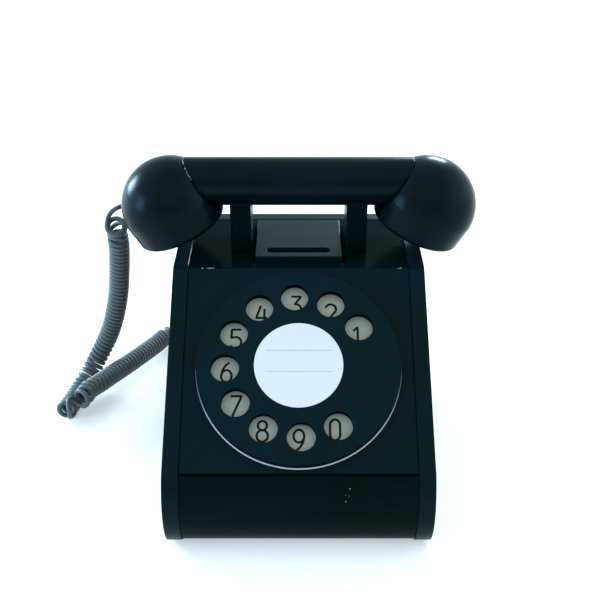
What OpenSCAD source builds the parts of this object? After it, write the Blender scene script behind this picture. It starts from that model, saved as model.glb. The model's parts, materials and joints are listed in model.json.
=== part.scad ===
// Wooden desk telephone with a coin slot, a turning dial and a lift-off handset.
// Millimetres. +X is the right-hand side, +Y the back, +Z up. The origin is on the
// table, under the middle of the telephone without its cord.

/* [Case] */
// Width over the two side boards
case_width = 132; // [110:1:170]
// Depth from the round front rail to the back
case_depth = 163; // [150:1:190]
// Height of the top board above the table
case_height = 109.8; // [100:0.1:135]
// Thickness of the boards
board = 8; // [6:0.5:10]
// Depth of the flat top, with the back board's edge
top_depth = 64.5; // [60:0.5:74]
// How far the side boards stand out from the boards between them
side_proud = 0.8; // [0.3:0.1:1.5]
// Radius of the side boards' upper front corner
shoulder_radius = 10; // [4:1:14]
// Radius of the side boards' lower front corner
toe_radius = 9; // [4:1:12]
// Radius of the side boards' back corners
corner_radius = 3; // [1:0.5:5]

/* [Front rail] */
// Height of the seam between rail and face, above the side boards' lower edge
rail_height = 45.5; // [38:0.5:52]
// How far the seam stands in front of the rail's lower edge
rail_lean = 3.7; // [0:0.1:6]
// How far the rail's round front bulges out
rail_bulge = 9.5; // [5:0.5:14]
// Thickness of the rail at its lower edge
rail_foot = 8; // [6:0.5:14]

/* [Base] */
// Thickness of the base board
base_thickness = 6; // [4:0.5:8]
// How far the base board is set in above the side boards' lower edge
base_recess = 2; // [1:0.5:4]
// Diameter of a felt foot
foot_diameter = 12; // [8:1:20]
// How far the feet lift the side boards off the table
foot_lift = 1; // [0.5:0.1:2]
// Side of the square blocks glued in the corners of the base
block_size = 14; // [12:1:18]
// Shank diameter of the base screws
screw_shank = 3; // [2:0.5:4]
// Head diameter of the base screws
screw_head = 6; // [5:0.5:8]
// Diameter of the wooden dowels
dowel_diameter = 5; // [4:0.5:5]

/* [Dial] */
// Diameter of the finger wheel
wheel_diameter = 102.2; // [90:0.2:106]
// Thickness of the finger wheel
wheel_thickness = 4.2; // [3:0.1:6]
// Distance from the seam up the face to the middle of the dial
dial_rise = 54; // [52:0.5:57]
// Diameter of a finger hole
finger_hole = 14.2; // [12:0.2:15]
// Radius of the circle on which the finger holes lie
hole_circle = 36.7; // [34:0.1:39]
// Number of finger holes
finger_holes = 10; // [8:1:10]
// Angle from the right-hand side up to the first finger hole
first_hole_angle = 33.6; // [20:0.1:50]
// Angle from one finger hole to the next
hole_step = 29.8; // [28:0.1:30]
// Thickness of the number plate
plate_thickness = 1; // [0.6:0.1:2]
// How far the number plate reaches out past the wheel
plate_margin = 0.5; // [0.2:0.1:2]
// Gap between number plate and wheel
dial_gap = 0.5; // [0.4:0.1:1]
// Diameter of the paper label
label_diameter = 44.4; // [30:0.2:50]
// Thickness of the paper label
label_thickness = 0.4; // [0.2:0.1:0.8]
// Diameter of the dial's axle
axle_diameter = 6; // [5:0.5:8]
// Diameter of the axle's flat head
axle_head = 14; // [10:1:20]
// Thickness of the axle's flat head
axle_head_thickness = 1.6; // [1:0.1:2.5]
// Wall of the brass bush
bush_wall = 2; // [1:0.5:3]

/* [Cradle and slot] */
// Width of a cradle post
post_width = 11; // [9:0.5:13]
// Depth of a cradle post
post_depth = 25; // [23:0.5:30]
// Height of the posts above the top board
post_height = 30.7; // [28:0.1:36]
// Distance between the two posts
post_gap = 50.4; // [46:0.1:60]
// Distance from the back to the handset's axis
cradle_inset = 36.8; // [34:0.1:42]
// Gap between the slot block and a post
block_gap = 2.2; // [0.4:0.1:4]
// Depth of the slot block
block_depth = 43; // [38:0.5:46]
// Height of the slot block
block_height = 4; // [2:0.5:6]
// Distance from the edge of the flat top to the slot block
block_setback = 5.2; // [3:0.1:8]
// Length of the coin slot
slot_length = 34; // [28:0.5:38]
// Width of the coin slot
slot_width = 5.1; // [4.6:0.1:6]
// Distance from the block's front to the middle of the slot
slot_setback = 7.2; // [5:0.1:12]

/* [Handset] */
// Diameter of the handset's bar
bar_diameter = 25.5; // [20:0.5:28]
// Length of the bar along its axis
bar_length = 104; // [98:1:118]
// Angle of the bar's slanted ends
mitre_angle = 35; // [20:1:38]
// Height of the bar's axis above the top board
bar_rise = 37.2; // [36:0.1:42]
// Radius of the round ear and mouth pieces
cap_radius = 26.5; // [24:0.5:28]
// Distance between the middles of the ear and mouth pieces
cap_spacing = 137; // [132:1:146]
// How far the middles of the pieces hang below the bar's axis
cap_drop = 13.7; // [12:0.1:16]
// Distance from the middle of a piece to its flat face
cap_face = 14.9; // [13:0.1:18]
// Radius of a piece just above the rounded rim of its flat face
cap_mouth = 24.9; // [23:0.1:26]
// Radius of that rim's rounding
cap_rim = 3; // [1:0.5:4]
// Angle by which the flat faces are turned toward each other
cap_cant = 23; // [15:1:30]

/* [Cord] */
// Outer diameter of the curls
curl_diameter = 12.5; // [10:0.5:14]
// Diameter of the cord itself
cord_diameter = 2.5; // [2:0.1:3]
// Number of curls
curls = 82; // [60:1:86]
// Diameter of the rubber grips in which the cord ends
grip_diameter = 9; // [7:0.5:11]
// How far a grip stands out
grip_proud = 3; // [2:0.5:5]

/* [Fits] */
// Gap between the axle and its bush, on the radius
running_gap = 0.05; // [0.02:0.01:0.1]
// Gap between the dial's washers and what they turn against
end_gap = 0.2; // [0.1:0.05:0.4]
// Gap between the handset and its cradle
cradle_gap = 0.4; // [0.3:0.1:0.8]

/* [Hidden] */

fine = 96;
medium = 48;
arc_steps = 8;
past = 1;
far = 400;

paint = [0.05, 0.13, 0.14];
wood = [0.62, 0.47, 0.31];
plate_paint = [0.74, 0.78, 0.72];
label_paper = [0.90, 0.93, 0.95];
brass = [0.72, 0.58, 0.30];
steel = [0.62, 0.64, 0.66];
felt = [0.16, 0.17, 0.17];
rubber = [0.20, 0.22, 0.24];
cord_grey = [0.51, 0.55, 0.58];

// The case's outline in the Y-Z plane. The rail's front is an arc over a chord from
// its lower edge up to the seam.
foot_plane = foot_lift;
back = case_depth / 2;
inner_half = case_width / 2 - board;
rail_chord = norm([rail_lean, rail_height]);
rail_radius = (pow(rail_chord / 2, 2) + pow(rail_bulge, 2)) / (2 * rail_bulge);
chord_up = [-rail_lean, rail_height] / rail_chord;
chord_in = [chord_up[1], -chord_up[0]];
centre_from_foot = chord_up * rail_chord / 2 + chord_in * (rail_radius - rail_bulge);
rail_centre = [-case_depth / 2 + side_proud + rail_radius, foot_plane + centre_from_foot[1]];
rail_toe = rail_centre - centre_from_foot;
seam = rail_toe + [-rail_lean, rail_height];
edge = [back - top_depth, case_height];
face_angle = atan2(edge[1] - seam[1], edge[0] - seam[0]);
face_out = [-sin(face_angle), cos(face_angle)];
seam_inside = seam - board * face_out;
top_inside = case_height - board;
edge_inside = [seam_inside[0] + (top_inside - seam_inside[1]) / tan(face_angle), top_inside];
rail_back = rail_toe[0] + rail_foot;
rail_top = seam_inside[1] + (rail_back - seam_inside[0]) * tan(face_angle);
back_joint = back - board;
base_low = foot_plane + base_recess;
base_top = base_low + base_thickness;

// Dial, stacked outwards from the face.
wheel_back = plate_thickness + dial_gap;
wheel_front = wheel_back + wheel_thickness;
bush_radius = axle_diameter / 2 + running_gap + bush_wall;
washer_thickness = 1;
nut_thickness = 4;
felt_thickness = dial_gap - end_gap;
axle_inner_end = -board - bush_wall - end_gap - washer_thickness - nut_thickness - 2;

// Handset and cradle.
bar_y = back - cradle_inset;
bar_z = case_height + bar_rise;
bar_radius = bar_diameter / 2;
cap_z = bar_z - cap_drop;
post_x = (post_gap + post_width) / 2;
block_front = edge[0] + block_setback;
slot_y = block_front + slot_setback;
handset_dowel = dowel_diameter + 3;

// The cord leaves the mouthpiece along cord_exit. Its curls hang down to the table, turn
// there and run round to the grip in the back board.
cord_exit = [-3, 2, -1];
mouthpiece = [-cap_spacing / 2, bar_y, cap_z];
cord_start = mouthpiece + 7.8 * cord_exit;
inlet_x = -44;
inlet_z = 21;
cord_end = [inlet_x, back + grip_proud, inlet_z];

// Where the curls hang: how far left of the mouthpiece's middle and behind it, and the
// share of its height.
hanging = [
    [31.6, 1.3, 0.9], [31.9, 6, 0.864], [32.2, 7.5, 0.816], [32.5, 9.8, 0.773],
    [33.7, 12.3, 0.694], [35.3, 14.8, 0.608], [37.2, 17.3, 0.521], [39.7, 19.3, 0.439],
    [42.8, 21.3, 0.356], [46.5, 22.8, 0.278], [50.7, 22.7, 0.21], [55.2, 20.3, 0.149],
    [59.5, 15.8, 0.096]
];
lying = [
    [-131.6, 53.5, 8.2], [-134.3, 43, 6.6], [-136.8, 31.5, 6.6], [-136.8, 26.3, 8.5],
    [-133.8, 23.4, 12.1], [-129.4, 24.6, 15.2], [-126.3, 29, 16.2], [-124.3, 36.3, 16.2],
    [-119.6, 44.3, 15.2], [-114.5, 53.9, 14], [-109.2, 64, 12.5], [-103.8, 75, 10.8],
    [-98.6, 86.3, 9], [-93.1, 97.8, 7.5], [-87.8, 108.2, 6.9], [-79, 113, 6.8],
    [-68, 116, 7.8], [-57.5, 114.5, 11], [-49, 108, 16]
];
cord_route = concat(
    [for (p = hanging) [mouthpiece[0] - p[0], mouthpiece[1] + p[1], p[2] * mouthpiece[2]]],
    lying);

// ---- outlines ----------------------------------------------------------------

// A polygon's corner at p, between a and b, turned into an arc of radius r.
function rounded_corner(a, p, b, r) =
    let (to_a = (a - p) / norm(a - p), to_b = (b - p) / norm(b - p))
    let (half = acos(to_a * to_b) / 2, middle = (to_a + to_b) / norm(to_a + to_b))
    let (centre = p + middle * r / sin(half))
    let (first = p + to_a * r / tan(half) - centre, last = p + to_b * r / tan(half) - centre)
    let (start = atan2(first[1], first[0]), turn = atan2(last[1], last[0]) - start)
    let (sweep = turn > 180 ? turn - 360 : turn < -180 ? turn + 360 : turn)
    [for (i = [0:arc_steps]) centre + r * [cos(start + sweep * i / arc_steps),
                                           sin(start + sweep * i / arc_steps)]];

// The rail's round front, from its lower edge up to the seam, grown outwards.
function rail_arc(grow) =
    let (low = atan2(rail_toe[1] - rail_centre[1], rail_toe[0] - rail_centre[0]) + 360)
    let (high = atan2(seam[1] - rail_centre[1], seam[0] - rail_centre[0]))
    let (steps = 2 * arc_steps)
    [for (i = [0:steps]) rail_centre + (rail_radius + grow)
        * [cos(low + (high - low) * i / steps), sin(low + (high - low) * i / steps)]];

function side_outline() =
    let (front = rail_arc(side_proud))
    let (low_front = [front[0][0], foot_plane], low_back = [back, foot_plane])
    let (high_back = [back, case_height + side_proud])
    let (face_start = seam + side_proud * face_out)
    let (rise = case_height + side_proud - face_start[1])
    let (shoulder = [face_start[0] + rise / tan(face_angle), case_height + side_proud])
    concat(rounded_corner(low_back, low_front, front[2], toe_radius),
           [for (i = [2:len(front) - 1]) front[i]],
           rounded_corner(face_start, shoulder, high_back, shoulder_radius),
           rounded_corner(shoulder, high_back, low_back, corner_radius),
           rounded_corner(high_back, low_back, low_front, corner_radius));

// ---- placing -----------------------------------------------------------------

// A Y-Z outline drawn out to both sides of the middle, from X = -half to +half.
module across(half) {
    translate([-half, 0, 0])
        rotate([90, 0, 90])
            linear_extrude(2 * half) children();
}

// Local X to the right, local Y up the face, local Z out of it.
module on_face(rise) {
    translate([0, seam[0], seam[1]])
        rotate([face_angle, 0, 0])
            translate([0, rise, 0]) children();
}

module on_dial() {
    on_face(dial_rise) children();
}

module along_x() {
    rotate([0, 90, 0]) children();
}

module along_y() {
    rotate([-90, 0, 0]) children();
}

// Turned so that local Z runs along a direction.
module along(direction) {
    rotate([0, acos(direction[2] / norm(direction)), atan2(direction[1], direction[0])])
        children();
}

// ---- case --------------------------------------------------------------------

// Dowel places: [y, z] in the side boards.
dowel_y_back = back - board / 2;
dowel_places = [
    [dowel_y_back, case_height - 3 * board], [dowel_y_back, base_top + 3 * board],
    [edge[0] + top_depth / 3, case_height - board / 2],
    [rail_centre[0] - rail_radius / 3, rail_centre[1]]
];
dowel_reach = board;
dowel_sink = board / 2;

module case_dowel_shape() {
    for (side = [-1, 1])
        for (place = dowel_places)
            translate([side * (inner_half + (dowel_sink - dowel_reach) / 2), place[0], place[1]])
                along_x()
                    cylinder(h = dowel_reach + dowel_sink, d = dowel_diameter, center = true,
                             $fn = 24);
}

module case_dowels() {
    color(wood) case_dowel_shape();
}

module side_panel(side) {
    color(paint)
        difference() {
            translate([side * (case_width - board) / 2, 0, 0])
                across(board / 2) polygon(side_outline());
            case_dowel_shape();
        }
}

module left_side_panel() {
    side_panel(-1);
}

module right_side_panel() {
    side_panel(1);
}

module front_panel() {
    color(paint)
        difference() {
            across(inner_half) polygon([seam, edge, edge_inside, seam_inside]);
            on_dial()
                translate([0, 0, -board - past])
                    cylinder(h = board + 2 * past, r = bush_radius, $fn = medium);
        }
}

module front_rail() {
    color(paint)
        difference() {
            across(inner_half)
                polygon(concat(rail_arc(0), [seam_inside, [rail_back, rail_top],
                                             [rail_back, rail_toe[1]]]));
            case_dowel_shape();
        }
}

module coin_slot_shape(height) {
    straight = slot_length - slot_width;
    translate([0, slot_y, 0])
        linear_extrude(height) {
            square([straight, slot_width], center = true);
            for (side = [-1, 1])
                translate([side * straight / 2, 0]) circle(d = slot_width, $fn = medium);
        }
}

module cradle_dowel_shape() {
    for (side = [-1, 1])
        translate([side * post_x, bar_y, case_height - 1.5 * dowel_diameter])
            cylinder(h = 3 * dowel_diameter, d = dowel_diameter, $fn = 24);
}

module top_panel() {
    color(paint)
        difference() {
            across(inner_half)
                polygon([edge, [back_joint, case_height], [back_joint, top_inside], edge_inside]);
            translate([0, 0, top_inside - past]) coin_slot_shape(board + 2 * past);
            cradle_dowel_shape();
            case_dowel_shape();
        }
}

module back_panel() {
    color(paint)
        difference() {
            translate([-inner_half, back_joint, base_low])
                cube([2 * inner_half, board, case_height - base_low]);
            case_dowel_shape();
            translate([inlet_x, back_joint - past, inlet_z])
                along_y() cylinder(h = board + 2 * past, d = grip_diameter, $fn = medium);
        }
}

// Corner blocks and base screws share their places.
block_x = inner_half - block_size / 2;
block_places = [for (side = [-1, 1], y = [rail_back + block_size, back_joint - block_size])
                [side * block_x, y]];
screw_length = base_thickness + 0.7 * block_size;
screw_head_depth = (screw_head - screw_shank) / 2;

module base_screw_shape() {
    for (place = block_places)
        translate([place[0], place[1], base_low]) {
            cylinder(h = screw_length, d = screw_shank, $fn = 24);
            cylinder(h = screw_head_depth, d1 = screw_head, d2 = screw_shank, $fn = 24);
        }
}

module base_screws() {
    color(steel)
        difference() {
            base_screw_shape();
            for (place = block_places)
                translate([place[0], place[1], base_low - past])
                    linear_extrude(past + screw_head_depth / 2) {
                        square([screw_head * 0.6, screw_head * 0.12], center = true);
                        square([screw_head * 0.12, screw_head * 0.6], center = true);
                    }
        }
}

module base_panel() {
    color(wood)
        difference() {
            translate([-inner_half, rail_back, base_low])
                cube([2 * inner_half, back_joint - rail_back, base_thickness]);
            base_screw_shape();
        }
}

module corner_blocks() {
    color(wood)
        difference() {
            for (place = block_places)
                translate([place[0] - block_size / 2, place[1] - block_size / 2, base_top])
                    cube(block_size);
            base_screw_shape();
        }
}

foot_inset = foot_diameter / 2 + 4;

module feet() {
    color(felt)
        for (side = [-1, 1], y = [rail_back + block_size, back_joint - block_size])
            translate([side * (block_x - screw_head - foot_inset), y, 0])
                cylinder(h = base_low, d = foot_diameter, $fn = medium);
}

// ---- cradle and slot ---------------------------------------------------------

module cradle_post(side) {
    color(paint)
        difference() {
            translate([side * post_x - post_width / 2, bar_y - post_depth / 2, case_height])
                cube([post_width, post_depth, post_height]);
            translate([side * post_x, bar_y, bar_z])
                along_x()
                    cylinder(h = post_width + 2 * past, r = bar_radius + cradle_gap,
                             center = true, $fn = fine);
            cradle_dowel_shape();
        }
}

module left_cradle_post() {
    cradle_post(-1);
}

module right_cradle_post() {
    cradle_post(1);
}

module cradle_dowels() {
    color(wood) cradle_dowel_shape();
}

module slot_block() {
    block_half = post_gap / 2 - block_gap;
    color(paint)
        difference() {
            translate([-block_half, block_front, case_height])
                cube([2 * block_half, block_depth, block_height]);
            translate([0, 0, case_height - past]) coin_slot_shape(block_height + 2 * past);
        }
}

// ---- dial --------------------------------------------------------------------

module number_plate() {
    color(plate_paint)
        on_dial()
            difference() {
                cylinder(h = plate_thickness, d = wheel_diameter + 2 * plate_margin, $fn = fine);
                translate([0, 0, -past])
                    cylinder(h = plate_thickness + 2 * past, r = bush_radius, $fn = medium);
            }
}

// The bush has a flange behind the face board.
module dial_bush() {
    color(brass)
        on_dial()
            difference() {
                union() {
                    translate([0, 0, -board])
                        cylinder(h = board + plate_thickness, r = bush_radius, $fn = medium);
                    translate([0, 0, -board - bush_wall])
                        cylinder(h = bush_wall, r = bush_radius + bush_wall, $fn = medium);
                }
                translate([0, 0, -board - bush_wall - past])
                    cylinder(h = board + bush_wall + plate_thickness + 2 * past,
                             r = axle_diameter / 2 + running_gap, $fn = medium);
            }
}

module finger_wheel() {
    color(paint)
        on_dial()
            difference() {
                translate([0, 0, wheel_back])
                    cylinder(h = wheel_thickness, d = wheel_diameter, $fn = fine);
                for (i = [0:finger_holes - 1])
                    rotate(first_hole_angle + hole_step * i)
                        translate([hole_circle, 0, wheel_back - past])
                            cylinder(h = wheel_thickness + 2 * past, d = finger_hole, $fn = medium);
                translate([0, 0, wheel_back - past])
                    cylinder(h = wheel_thickness + 2 * past, d = axle_diameter, $fn = medium);
                translate([0, 0, wheel_front - label_thickness / 2 - axle_head_thickness])
                    cylinder(h = far, d = axle_head, $fn = medium);
                translate([0, 0, wheel_front - label_thickness / 2])
                    cylinder(h = far, d = label_diameter, $fn = fine);
            }
}

module dial_label() {
    color(label_paper)
        on_dial()
            translate([0, 0, wheel_front - label_thickness / 2])
                cylinder(h = label_thickness, d = label_diameter, $fn = fine);
}

module dial_axle() {
    head_back = wheel_front - label_thickness / 2 - axle_head_thickness;
    color(steel)
        on_dial() {
            translate([0, 0, axle_inner_end])
                cylinder(h = head_back - axle_inner_end, d = axle_diameter, $fn = medium);
            translate([0, 0, head_back])
                cylinder(h = axle_head_thickness, d = axle_head, $fn = medium);
        }
}

// A ring round the axle, from z upwards.
module axle_ring(z, thickness, diameter) {
    translate([0, 0, z])
        difference() {
            cylinder(h = thickness, d = diameter, $fn = medium);
            translate([0, 0, -past])
                cylinder(h = thickness + 2 * past, d = axle_diameter, $fn = medium);
        }
}

module dial_felt_washer() {
    color(felt) on_dial() axle_ring(wheel_back - felt_thickness, felt_thickness, 5 * axle_diameter);
}

washer_z = -board - bush_wall - end_gap - washer_thickness;

module dial_washer() {
    color(steel) on_dial() axle_ring(washer_z, washer_thickness, 2.4 * axle_diameter);
}

module dial_nut() {
    color(brass)
        on_dial()
            translate([0, 0, washer_z - nut_thickness])
                difference() {
                    cylinder(h = nut_thickness, d = 1.9 * axle_diameter, $fn = 6);
                    translate([0, 0, -past])
                        cylinder(h = nut_thickness + 2 * past, d = axle_diameter, $fn = medium);
                }
}

// ---- handset -----------------------------------------------------------------

// The space past the slanted joint between the bar and the piece on one side.
module beyond_mitre(side) {
    translate([side * bar_length / 2, bar_y, bar_z])
        rotate([0, side * mitre_angle, 0])
            translate([side > 0 ? 0 : -far, -far / 2, -far / 2]) cube(far);
}

module handset_dowel_shape() {
    for (side = [-1, 1])
        translate([side * bar_length / 2, bar_y, bar_z - handset_dowel / 4])
            along_x()
                cylinder(h = 3 * handset_dowel, d = handset_dowel, center = true, $fn = medium);
}

module handset_bar() {
    color(paint)
        difference() {
            translate([0, bar_y, bar_z])
                along_x() cylinder(h = 2 * cap_spacing, r = bar_radius, center = true, $fn = fine);
            beyond_mitre(-1);
            beyond_mitre(1);
            handset_dowel_shape();
        }
}

// A turned knob: a dome, then a slight taper down to the rounded rim of its flat face.
module knob() {
    rotate_extrude($fn = fine)
        hull() {
            intersection() {
                circle(r = cap_radius, $fn = fine);
                square(cap_radius);
            }
            translate([0, -cap_face]) square(cap_mouth - cap_rim);
            translate([cap_mouth - cap_rim, cap_rim - cap_face]) circle(r = cap_rim, $fn = medium);
        }
}

// A knob, cut by the slanted joint.
module cap(side) {
    intersection() {
        difference() {
            translate([side * cap_spacing / 2, bar_y, cap_z])
                rotate([0, side * cap_cant, 0]) knob();
            handset_dowel_shape();
        }
        beyond_mitre(side);
    }
}

module handset_grip_shape() {
    translate(mouthpiece)
        along(cord_exit)
            translate([0, 0, norm(cord_start - mouthpiece) - grip_length])
                cylinder(h = grip_length, d = grip_diameter, $fn = medium);
}

grip_length = board + grip_proud;

module mouthpiece_cap() {
    color(paint)
        difference() {
            cap(-1);
            handset_grip_shape();
        }
}

module earpiece_cap() {
    color(paint) cap(1);
}

module handset_dowels() {
    color(wood) handset_dowel_shape();
}

module handset_cord_grip() {
    color(rubber) handset_grip_shape();
}

module case_cord_grip() {
    color(rubber)
        translate([inlet_x, back_joint, inlet_z])
            along_y() cylinder(h = grip_length, d = grip_diameter, $fn = medium);
}

// ---- curly cord --------------------------------------------------------------

curl_radius = (curl_diameter - cord_diameter) / 2;
rings_per_curl = 8;
cord_sides = 6;
lead_rings = 9;
first_angle = 80;
last_turn = 160;
start_pull = 24;
end_pull = 14;
bend_room = 1.12;
samples_per_span = 12;

function unit(v) = v / norm(v);

// A smooth curve through the route's points.
function spline(p, i, t) =
    let (a = p[max(i - 1, 0)], b = p[i], c = p[i + 1], d = p[min(i + 2, len(p) - 1)])
    0.5 * (2 * b + (c - a) * t + (2 * a - 5 * b + 4 * c - d) * t * t
           + (3 * b - a - 3 * c + d) * t * t * t);

centreline = concat(
    [for (i = [0:len(cord_route) - 2], k = [0:samples_per_span - 1])
        spline(cord_route, i, k / samples_per_span)],
    [cord_route[len(cord_route) - 1]]);
last_sample = len(centreline) - 1;
run = [for (i = 0, s = 0; i <= last_sample;
            s = s + (i < last_sample ? norm(centreline[i + 1] - centreline[i]) : 0), i = i + 1) s];
cord_run = run[last_sample];
headings = [for (i = [0:last_sample])
            unit(centreline[min(i + 1, last_sample)] - centreline[max(i - 1, 0)])];

// How sharply the centreline bends at a sample, in radians per millimetre.
bend_window = 3;
function bend(i) =
    let (a = max(i - bend_window, 0), b = min(i + bend_window, last_sample))
    acos(min(1, headings[a] * headings[b])) * PI / 180 / (run[b] - run[a]);

// The run along the inner side of the bends, where the curls lie evenly. The bends take
// a little more room than that.
inner_run = [for (i = 0, s = 0; i <= last_sample;
                  s = s + (i < last_sample
                           ? (run[i + 1] - run[i])
                             * (1 - bend_room * curl_radius * bend(i)) : 0),
                  i = i + 1) s];

// A side direction that is carried along the centreline without twisting.
function carried(v, heading) = unit(v - (v * heading) * heading);
sideways = [for (i = 0, v = carried([0, 0, 1], headings[0]); i <= last_sample;
                 v = carried(v, headings[min(i + 1, last_sample)]), i = i + 1) v];

function sample_at(list, s, low = 0, high = last_sample) =
    high - low < 2 ? low
    : let (middle = floor((low + high) / 2))
      list[middle] > s ? sample_at(list, s, low, middle) : sample_at(list, s, middle, high);

// The value in list to, at the place where list from reaches s.
function carry_over(from, to, s) =
    let (i = sample_at(from, s))
    to[i] + (to[i + 1] - to[i]) * (s - from[i]) / (from[i + 1] - from[i]);

// A place on the curls: the cord's middle and the direction away from the centreline.
function coil_place(s, angle) =
    let (i = sample_at(run, s), t = (s - run[i]) / (run[i + 1] - run[i]))
    let (heading = unit(headings[i] * (1 - t) + headings[i + 1] * t))
    let (side = carried(sideways[i] * (1 - t) + sideways[i + 1] * t, heading))
    let (away = cos(angle) * side + sin(angle) * cross(side, heading))
    [centreline[i] * (1 - t) + centreline[i + 1] * t + curl_radius * away, away];

coil_rings = curls * rings_per_curl;
coil = [for (i = [0:coil_rings]) let (t = i / coil_rings)
        coil_place(carry_over(inner_run, run, inner_run[last_sample] * t),
                   first_angle + (360 * curls + last_turn) * t)];

// The cord's places from a grip to the curls: a cubic from one end to the other, with
// the directions at its ends.
function lead(start, leaving, ring, arriving) =
    [for (i = [0:lead_rings - 1]) let (t = i / lead_rings)
        [(1 - t) * (1 - t) * ((1 + 2 * t) * start + t * leaving)
         + t * t * ((3 - 2 * t) * ring[0] - (1 - t) * arriving), ring[1]]];

lead_in = lead(cord_start + cord_diameter * unit(cord_exit), start_pull * unit(cord_exit),
               coil[0], start_pull * unit(coil[1][0] - coil[0][0]));
lead_out = lead(cord_end + [0, cord_diameter, 0], [0, end_pull, 0], coil[coil_rings],
                end_pull * unit(coil[coil_rings - 1][0] - coil[coil_rings][0]));
stations = concat([[cord_start, coil[0][1]]], lead_in, coil,
                  [for (i = [lead_rings - 1:-1:0]) lead_out[i]],
                  [[cord_end, coil[coil_rings][1]]]);
last_station = len(stations) - 1;

cord_points = [
    for (i = [0:last_station])
        let (before = stations[max(i - 1, 0)][0], after = stations[min(i + 1, last_station)][0])
        let (heading = i == 0 ? unit(cord_exit) : i == last_station ? [0, -1, 0]
                       : unit(after - before))
        let (out = carried(stations[i][1], heading), up = cross(heading, out))
        for (k = [0:cord_sides - 1])
            stations[i][0] + cord_diameter / 2
                * (cos(360 * k / cord_sides) * out + sin(360 * k / cord_sides) * up)
];

cord_faces = concat(
    [for (k = [1:cord_sides - 2]) [0, k, k + 1]],
    [for (i = [0:last_station - 1], k = [0:cord_sides - 1], half = [0, 1])
        let (a = i * cord_sides + k, b = i * cord_sides + (k + 1) % cord_sides)
        half == 0 ? [a, a + cord_sides, b] : [b, a + cord_sides, b + cord_sides]],
    [for (k = [1:cord_sides - 2])
        [last_station * cord_sides, last_station * cord_sides + k + 1,
         last_station * cord_sides + k]]);

// The least gap between two curls, from ring middle to ring middle.
neighbours = [for (i = [0:last_station], j = [5:12]) if (i + j <= last_station)
              norm(stations[i][0] - stations[i + j][0])];
echo(cord_gap = min(neighbours) - cord_diameter, cord_run = cord_run,
     triangles = len(cord_faces), lowest = min([for (p = cord_points) p[2]]));

module handset_cord() {
    color(cord_grey) polyhedron(points = cord_points, faces = cord_faces);
}

left_side_panel();
right_side_panel();
front_panel();
front_rail();
top_panel();
back_panel();
base_panel();
corner_blocks();
case_dowels();
base_screws();
feet();
left_cradle_post();
right_cradle_post();
cradle_dowels();
slot_block();
number_plate();
dial_bush();
finger_wheel();
dial_label();
dial_axle();
dial_felt_washer();
dial_washer();
dial_nut();
handset_bar();
mouthpiece_cap();
earpiece_cap();
handset_dowels();
handset_cord_grip();
case_cord_grip();
handset_cord();
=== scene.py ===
# %% [markdown]
# # A wooden desk telephone
# This lesson dresses a small wooden telephone: boards painted blue-black, a wheel with
# ten finger holes, a handset resting on two posts and a curly grey cord. The plain
# solids come from the construction model. Each step builds a finer piece around one
# of them, gives it a finish and ties it to the body that it moves with.

# %% Frame
import json
import math

import bmesh
import bpy
import numpy as np
from mathutils import Matrix, Vector


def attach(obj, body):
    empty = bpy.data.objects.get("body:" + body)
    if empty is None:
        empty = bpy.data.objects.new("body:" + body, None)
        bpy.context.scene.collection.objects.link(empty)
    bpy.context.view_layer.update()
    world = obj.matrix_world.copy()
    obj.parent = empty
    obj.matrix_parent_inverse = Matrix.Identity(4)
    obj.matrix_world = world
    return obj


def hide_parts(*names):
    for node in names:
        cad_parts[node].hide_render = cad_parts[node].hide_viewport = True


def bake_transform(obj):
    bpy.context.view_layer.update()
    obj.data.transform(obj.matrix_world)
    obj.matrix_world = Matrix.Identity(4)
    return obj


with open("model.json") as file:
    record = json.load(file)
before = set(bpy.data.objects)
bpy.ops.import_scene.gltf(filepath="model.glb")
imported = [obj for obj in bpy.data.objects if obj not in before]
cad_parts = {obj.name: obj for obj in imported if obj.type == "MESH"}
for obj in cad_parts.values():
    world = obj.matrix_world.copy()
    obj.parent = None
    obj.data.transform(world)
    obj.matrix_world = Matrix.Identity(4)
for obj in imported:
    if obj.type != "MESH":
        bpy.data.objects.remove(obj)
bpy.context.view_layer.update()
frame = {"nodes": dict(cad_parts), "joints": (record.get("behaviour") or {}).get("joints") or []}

MM = 0.001


def point(*millimetres):
    """A place in metres, from its coordinates in millimetres."""
    return Vector(millimetres) * MM


def placed(name, data):
    """A new object in the scene that shows this data."""
    made = bpy.data.objects.new(name, data)
    bpy.context.scene.collection.objects.link(made)
    return made


# %% [markdown]
# ## Camera
# The telephone is seen from the front and well above, so that the sloped dial faces
# the viewer. A lens of about 58 mm keeps the sides of the case nearly parallel.

# %% Camera
camera = placed("camera", bpy.data.cameras.new("camera"))
camera.location = point(0, -423, 356.5)
camera.rotation_euler = (math.radians(58.8), 0, 0)
camera.data.sensor_width = 36
camera.data.lens = 57.56
camera.data.shift_x = 0.0023
camera.data.clip_start = 0.01
bpy.context.scene.camera = camera
bpy.context.scene.view_settings.view_transform = "Standard"
print(f"camera {camera.location.length:.2f} m from the origin")

# %% [markdown]
# ## Wires instead of node wiring
# A node tree is easier to read as a formula. A Wire stands for one socket's value.
# Adding or multiplying wires places a Math node, so `1 - mask` is one short line.
# The same class serves shader trees and geometry trees, because both know Math nodes.


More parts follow.
